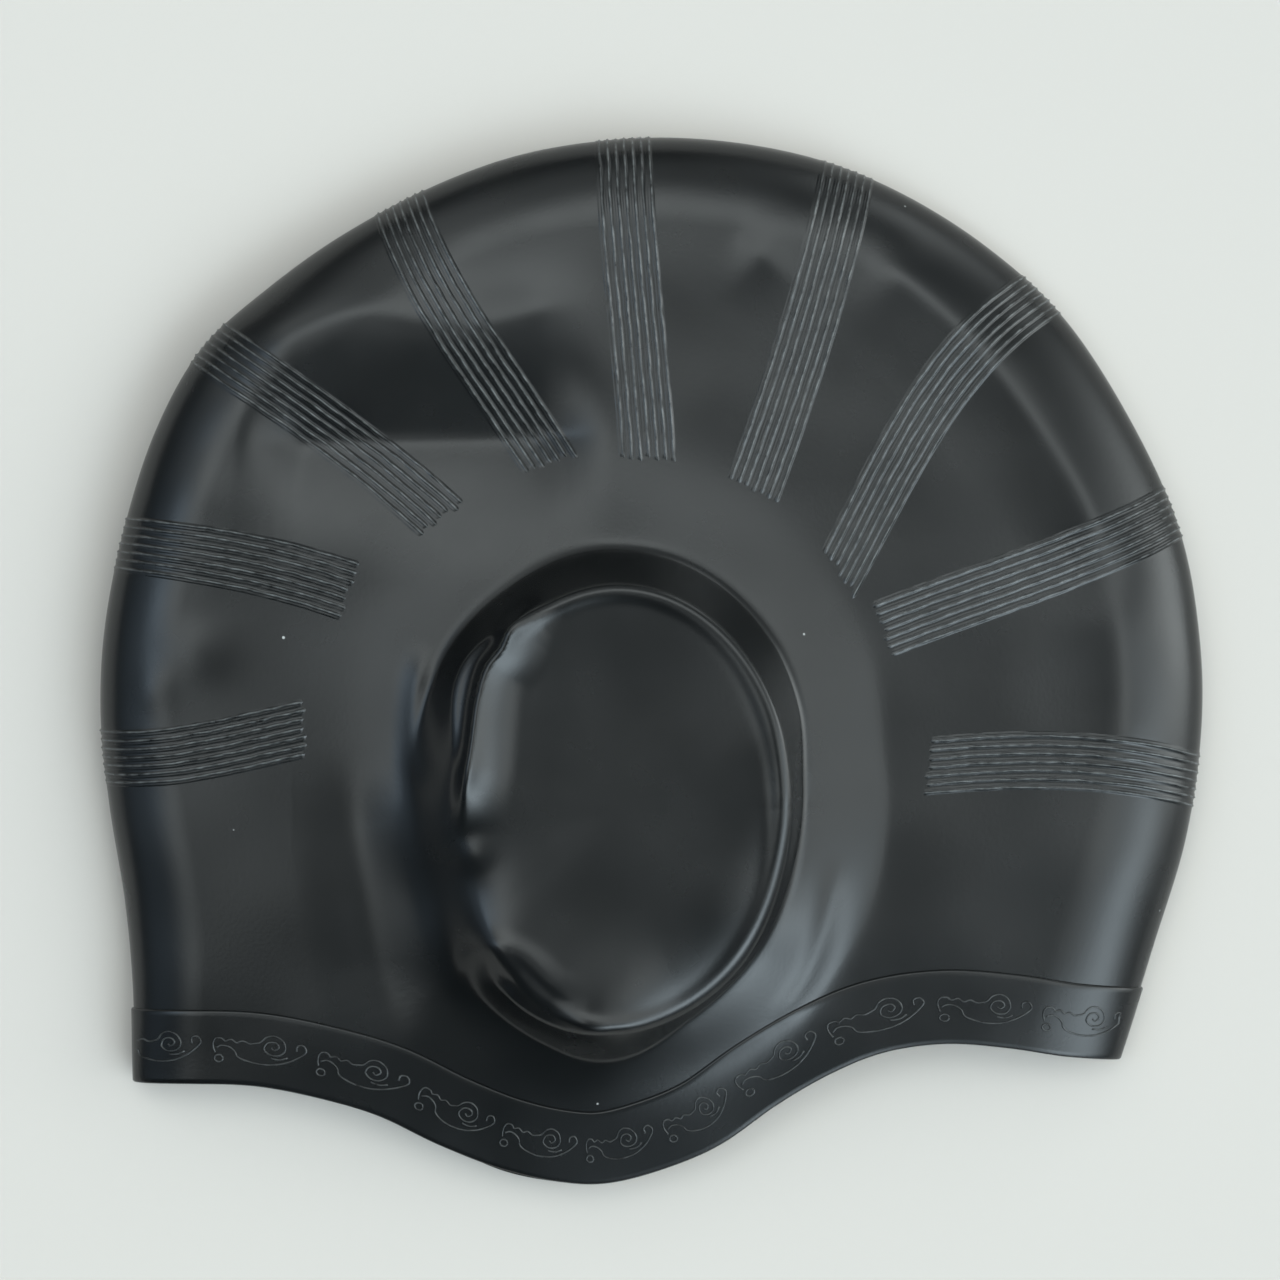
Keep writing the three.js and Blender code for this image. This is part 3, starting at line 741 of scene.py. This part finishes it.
def make_ribs(material):
    """Fine ridges in bands that fan out from the pocket, run over the fold line and go on below."""
    rng = np.random.default_rng(RIB_SEED)
    feet = np.add.outer(np.arange(RIDGES), RIDGE_SECTION[:, 0]).ravel()
    feet = np.append(feet, RIDGES) / RIDGES - 0.5
    heights = np.append(np.tile(RIDGE_SECTION[:, 1], RIDGES), RIDGE_SECTION[0, 1])
    ridge = np.append(np.repeat(np.arange(RIDGES), len(RIDGE_SECTION)), RIDGES - 1)
    points, quads, wear_and_highlight = [], [], []
    first = 0
    for face in (UPPER, LOWER):
        steps, roll_steps = RIB_STEPS[face]
        for band in RIB_BANDS:
            middle = np.array(band_angle(band, 0.5))
            start = band[3] * CAP_WIDTH
            first_turn = start / reach_at(face, middle, 1)
            turn = np.append(np.linspace(first_turn, 1, steps), np.linspace(1, 2, roll_steps + 1)[1:])
            rows = len(turn)
            reach = reach_at(face, middle, turn)
            share = (reach - start) / (fold_reach(middle) - start)
            waver = wander_ridges(rows, RIB_WAVER_BEND, rng)[:, ridge]
            strength = wander_ridges(rows, RIB_STRENGTH_BEND, rng)[:, ridge]
            begins = RIB_RAGGED * rng.uniform(0, 1, RIDGES)[ridge]
            grown = smooth((reach[:, None] - start - begins) / RIDGE_END)
            inner = np.abs(feet) < 0.5
            across = feet * BAND_WIDTH + RIB_WAVER * waver * inner
            height = RIDGE_HEIGHT * heights * (1 - RIB_HEIGHT_VARIES + RIB_HEIGHT_VARIES * strength)
            lift = height * grown - RIDGE_SINK * (1 - grown)
            angle = band_angle(band, share)[:, None] + across / reach[:, None]
            turns = np.broadcast_to(turn[:, None], angle.shape)
            points.append(offset_points(face, angle.ravel(), turns.ravel(), lift.ravel()))
            # The crests are painted pale: partly wear, partly a painted highlight on the ridge tops
            crest = np.clip(heights, 0, 1) ** 3
            wear_and_highlight.append((crest * (1 - RIB_WEAR_AND_HIGHLIGHT_VARIES + RIB_WEAR_AND_HIGHLIGHT_VARIES * strength) * grown).ravel())
            columns = len(feet)
            quads += strip_quads(rows, columns, first, face)
            first += rows * columns
    return make_object("rib_lines", np.vstack(points), quads, material, np.concatenate(wear_and_highlight))


def fold_crossings(face, inset):
    """The plan curve at that distance in from the hem's edge, cut off where it meets the fold line."""
    curve = offset_curve(hem_curve(face), inset)
    arms = curve - CENTRE
    room = fold_reach(np.arctan2(arms[:, 1], arms[:, 0])) - np.hypot(*arms.T)
    inside = np.where(room > 0)[0]
    first, last = inside[0], inside[-1]
    ends = []
    for a, b in ((first - 1, first), (last + 1, last)):
        share = room[b] / (room[b] - room[a])
        ends.append(lerp(curve[b], curve[a], share))
    return np.vstack([ends[0], curve[inside], ends[1]])


def resample(curve, shares):
    """Points at those shares of a curve's length."""
    lengths = np.concatenate([[0], np.cumsum(np.hypot(*np.diff(curve, axis=0).T))])
    where = shares * lengths[-1]
    return np.column_stack([np.interp(where, lengths, curve[:, k]) for k in (0, 1)])


def hem_shares(count, ends, run_share):
    """Shares along the hem, crowded together over the roll at both ends."""
    quarter = np.linspace(0, math.pi / 2, ends + 1)[:-1]
    near = run_share * (1 - np.cos(quarter))
    middle = np.linspace(run_share, 1 - run_share, count)
    return np.concatenate([near, middle, 1 - near[::-1]])


def make_hem_band(material):
    """The thicker strip along the hem: a closed section swept along both faces and over both folds."""
    shares = hem_shares(HEM_COLUMNS, HEM_END_COLUMNS, HEM_END_SHARE)
    rows = []
    for inset, height in HEM_SECTION:
        upper = plan_points(UPPER, resample(fold_crossings(UPPER, inset), shares), height)
        lower = plan_points(LOWER, resample(fold_crossings(LOWER, inset), shares), height)
        rows.append(np.vstack([upper, lower[::-1][1:-1]]))
    columns = len(rows[0])
    points = np.vstack(rows)
    quads = []
    count = len(HEM_SECTION)
    for i in range(count):
        a, b = i * columns, ((i + 1) % count) * columns
        for j in range(columns):
            k = (j + 1) % columns
            quads.append((a + j, a + k, b + k, b + j))
    return make_object("hem_band", points, quads, material, np.zeros(len(points)))


def make_scrolls(material):
    """Raised lines of the scroll border, half round in section, along both faces of the hem band."""
    feet, heights = SCROLL_SECTION.T
    columns = len(feet)
    lines = [catmull_rom(stroke, STROKE_STEPS, closed=False) for stroke in SCROLL_STROKES]
    points, quads = [], []
    total = 0
    for face in (UPPER, LOWER):
        edge = fold_crossings(face, 0)
        sides = curve_sides(edge)
        lengths = np.concatenate([[0], np.cumsum(np.hypot(*np.diff(edge, axis=0).T))])
        spots, lifts = [], []
        for k in range(int(lengths[-1] / SCROLL_PITCH) + 2):
            for line in lines:
                along = (SCROLL_FIRST + k) * SCROLL_PITCH + line[:, 0] * SCROLL_WIDTH
                across = SCROLL_INSET + line[:, 1] * SCROLL_HEIGHT
                seen = (along > SCROLL_EDGE) & (along < lengths[-1] - SCROLL_EDGE)
                along, across = along[seen], across[seen]
                if len(along) < SCROLL_SHORTEST:
                    continue
                heading = np.gradient(np.column_stack([along, across]), axis=0)
                heading /= np.linalg.norm(heading, axis=1)[:, None]
                a = along[:, None] - heading[:, 1:] * feet * SCROLL_LINE
                c = across[:, None] + heading[:, :1] * feet * SCROLL_LINE
                plan = [
                    np.interp(a, lengths, edge[:, axis]) + c * np.interp(a, lengths, sides[:, axis])
                    for axis in (0, 1)
                ]
                ends = np.ones(len(along))
                ends[[0, -1]] = SCROLL_END
                spots.append(np.stack(plan, axis=-1).reshape(-1, 2))
                lifts.append(np.outer(ends, heights).ravel())
                quads += strip_quads(len(along), columns, total, face)
                total += len(along) * columns
        points.append(plan_points(face, np.vstack(spots), HEM_STEP + SCROLL_RELIEF * np.concatenate(lifts)))
    return make_object("scroll_border", np.vstack(points), quads, material, np.full(total, SCROLL_WEAR_AND_HIGHLIGHT))


def feed(links, socket, value):
    """Sets a node's socket to a value, or links it to another node's output."""
    if isinstance(value, bpy.types.NodeSocket):
        links.new(value, socket)
    else:
        socket.default_value = value


def silicone_material():
    """Black rubber with faint smudges, ridges and scroll lines painted pale for wear and a painted highlight,
    a few specks of dust and a fine grain.
    """
    material = bpy.data.materials.new("black_silicone")
    material.use_nodes = True
    nodes, links = material.node_tree.nodes, material.node_tree.links
    shader = nodes["Principled BSDF"]
    shader.inputs["IOR"].default_value = 1.43

    coordinates = nodes.new("ShaderNodeTexCoord")

    def noise(scale, detail, low, high):
        texture = nodes.new("ShaderNodeTexNoise")
        texture.inputs["Scale"].default_value = scale
        texture.inputs["Detail"].default_value = detail
        links.new(coordinates.outputs["Object"], texture.inputs["Vector"])
        spread = nodes.new("ShaderNodeMapRange")
        spread.inputs["From Min"].default_value = 0.3
        spread.inputs["From Max"].default_value = 0.7
        spread.inputs["To Min"].default_value = low
        spread.inputs["To Max"].default_value = high
        links.new(texture.outputs["Fac"], spread.inputs["Value"])
        return spread.outputs["Result"]

    def mix(factor, first, second):
        made = nodes.new("ShaderNodeMix")
        made.data_type = "RGBA"
        for name, value in (("Factor", factor), ("A", first), ("B", second)):
            feed(links, made.inputs[name], value)
        return made.outputs["Result"]

    def number(operation, first, second):
        made = nodes.new("ShaderNodeMath")
        made.operation = operation
        feed(links, made.inputs[0], first)
        feed(links, made.inputs[1], second)
        return made.outputs["Value"]

    shade = mix(noise(scale=38, detail=4, low=0.0, high=1.0), SILICONE_DARK, SILICONE_PALE)

    # Ridges and scroll lines are painted pale here: partly wear, partly a painted highlight
    wear_and_highlight = nodes.new("ShaderNodeAttribute")
    wear_and_highlight.attribute_name = "wear_and_highlight"
    streaks = noise(scale=520, detail=3, low=0.05, high=1.0)
    worn_and_highlit = mix(number("MULTIPLY", wear_and_highlight.outputs["Fac"], streaks), shade, SILICONE_WORN_AND_HIGHLIGHT)

    specks = nodes.new("ShaderNodeTexVoronoi")
    specks.inputs["Scale"].default_value = DUST_SCALE
    links.new(coordinates.outputs["Object"], specks.inputs["Vector"])
    dot = nodes.new("ShaderNodeMapRange")
    dot.inputs["From Min"].default_value = DUST_SIZE
    dot.inputs["From Max"].default_value = DUST_CORE
    links.new(specks.outputs["Distance"], dot.inputs["Value"])
    chance = nodes.new("ShaderNodeSeparateColor")
    links.new(specks.outputs["Color"], chance.inputs["Color"])
    few = number("GREATER_THAN", chance.outputs["Red"], DUST_RARE)
    dust = number("MULTIPLY", dot.outputs["Result"], few)
    links.new(mix(dust, worn_and_highlit, DUST_COLOUR), shader.inputs["Base Color"])

    links.new(noise(scale=55, detail=5, low=0.22, high=0.29), shader.inputs["Roughness"])

    grain = nodes.new("ShaderNodeBump")
    grain.inputs["Strength"].default_value = 0.04
    grain.inputs["Distance"].default_value = 0.0002
    links.new(noise(scale=1400, detail=3, low=0.0, high=1.0), grain.inputs["Height"])
    links.new(grain.outputs["Normal"], shader.inputs["Normal"])
    return material


def table_material():
    material = bpy.data.materials.new("table")
    material.use_nodes = True
    shader = material.node_tree.nodes["Principled BSDF"]
    shader.inputs["Base Color"].default_value = TABLE_COLOUR
    shader.inputs["Roughness"].default_value = 0.7
    return material


def add_table():
    mesh = bpy.data.meshes.new("table")
    corners = [(-1, -1, 0), (1, -1, 0), (1, 1, 0), (-1, 1, 0)]
    mesh.from_pydata((np.array(corners) * TABLE_HALF).tolist(), [], [(0, 1, 2, 3)])
    mesh.materials.append(table_material())
    table = bpy.data.objects.new("table", mesh)
    bpy.context.scene.collection.objects.link(table)


# Soft panels of light: azimuth, elevation and spread in degrees, radiance and colour
WHITE = (0.93, 1.0, 1.0)
PALE_BLUE = (0.78, 0.92, 1.0)
BLUE = (0.62, 0.81, 1.0)
PANELS = [
    (0, 90, 14, 0.2, WHITE),
    (0, 65, 12, 2.4, WHITE),
    (45, 65, 12, 2.6, WHITE),
    (90, 64, 12, 3.5, WHITE),
    (135, 65, 12, 3.0, WHITE),
    (180, 65, 11, 2.3, WHITE),
    (225, 65, 11, 2.5, WHITE),
    (315, 65, 12, 2.0, WHITE),
    (0, 35, 20, 2.0, WHITE),
    (10, 16, 17, 5.5, WHITE),
    (60, 17, 13, 2.5, WHITE),
    (92, 34, 16, 0.6, WHITE),
    (128, 38, 16, 1.7, WHITE),
    (180, 32, 20, 0.8, BLUE),
]

# Windows, whose light nothing blocks
WINDOWS = [
    (-22, 40, 12, 5.5, PALE_BLUE),
    (-54, 38, 15, 9.5, PALE_BLUE),
    (172, 50, 9, 3.4, BLUE),
]

# Where the panels' light is blocked: azimuth, elevation, dark within and clear beyond, all in degrees
BLOCKED = (-90, 42, 28, 43)
BLOCKED_LIGHT = 0.06

# Dim walls, brightest level with the table, and how fast they darken above it
WALL_LIGHT = (0.15, 0.15, 0.15)
WALL_FADE = -14.0


def aim(azimuth, elevation):
    azimuth, elevation = math.radians(azimuth), math.radians(elevation)
    level = math.cos(elevation)
    return (level * math.cos(azimuth), level * math.sin(azimuth), math.sin(elevation))


def add_room():
    """Light from all round: a ring of soft panels overhead, dim walls, and windows to the right and left."""
    world = bpy.data.worlds.new("room")
    world.use_nodes = True
    nodes, links = world.node_tree.nodes, world.node_tree.links
    direction = nodes.new("ShaderNodeTexCoord").outputs["Generated"]

    def node(kind, operation, *values):
        made = nodes.new(kind)
        made.operation = operation
        for socket, value in zip(made.inputs, values):
            feed(links, socket, value)
        return made.outputs

    def scaled(colour, strength):
        made = nodes.new("ShaderNodeVectorMath")
        made.operation = "SCALE"
        feed(links, made.inputs[0], colour)
        links.new(strength, made.inputs["Scale"])
        return made.outputs["Vector"]

    def closeness(azimuth, elevation):
        return node("ShaderNodeVectorMath", "DOT_PRODUCT", direction, aim(azimuth, elevation))["Value"]

    def number(operation, *values):
        return node("ShaderNodeMath", operation, *values)["Value"]

    def lit(total, panels):
        for azimuth, elevation, spread, radiance, colour in panels:
            fade = number("SUBTRACT", closeness(azimuth, elevation), 1.0)
            fade = number("EXPONENT", number("DIVIDE", fade, 1 - math.cos(math.radians(spread))))
            panel = scaled(colour, number("MULTIPLY", fade, radiance))
            total = node("ShaderNodeVectorMath", "ADD", total, panel)["Vector"]
        return total

    height = nodes.new("ShaderNodeSeparateXYZ")
    links.new(direction, height.inputs["Vector"])
    total = scaled(WALL_LIGHT, number("EXPONENT", number("MULTIPLY", height.outputs["Z"], WALL_FADE)))
    total = lit(total, PANELS)

    azimuth, elevation, dark, clear = BLOCKED
    shade = nodes.new("ShaderNodeMapRange")
    shade.interpolation_type = "SMOOTHSTEP"
    links.new(closeness(azimuth, elevation), shade.inputs["Value"])
    shade.inputs["From Min"].default_value = math.cos(math.radians(clear))
    shade.inputs["From Max"].default_value = math.cos(math.radians(dark))
    shade.inputs["To Min"].default_value = 1.0
    shade.inputs["To Max"].default_value = BLOCKED_LIGHT
    total = lit(scaled(total, shade.outputs["Result"]), WINDOWS)
    links.new(total, nodes["Background"].inputs["Color"])
    bpy.context.scene.world = world


def add_camera():
    """Straight above, with the photograph's frame level with the fold line."""
    camera = bpy.data.cameras.new("camera")
    camera.sensor_width = 36
    camera.lens = camera.sensor_width * (CAMERA_HEIGHT - FOLD_HEIGHT) / (PHOTO_SIZE * PIXEL)
    eye = bpy.data.objects.new("camera", camera)
    eye.location = (PHOTO_CENTRE[0] * MM, PHOTO_CENTRE[1] * MM, CAMERA_HEIGHT * MM)
    bpy.context.scene.collection.objects.link(eye)
    bpy.context.scene.camera = eye


silicone = silicone_material()
shell = make_shell("cap_shell", [UPPER], *UPPER_GRID, 0.0, silicone)
make_shell("cap_under", [LOWER], *LOWER_GRID, 0.0, silicone)
make_shell("cap_inside", [UPPER, LOWER], *INSIDE_GRID, -WALL, silicone)
make_ribs(silicone)
make_hem_band(silicone)
make_scrolls(silicone)
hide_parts("swim_cap")

add_table()
add_room()
add_camera()
bpy.context.scene.view_settings.view_transform = "Standard"
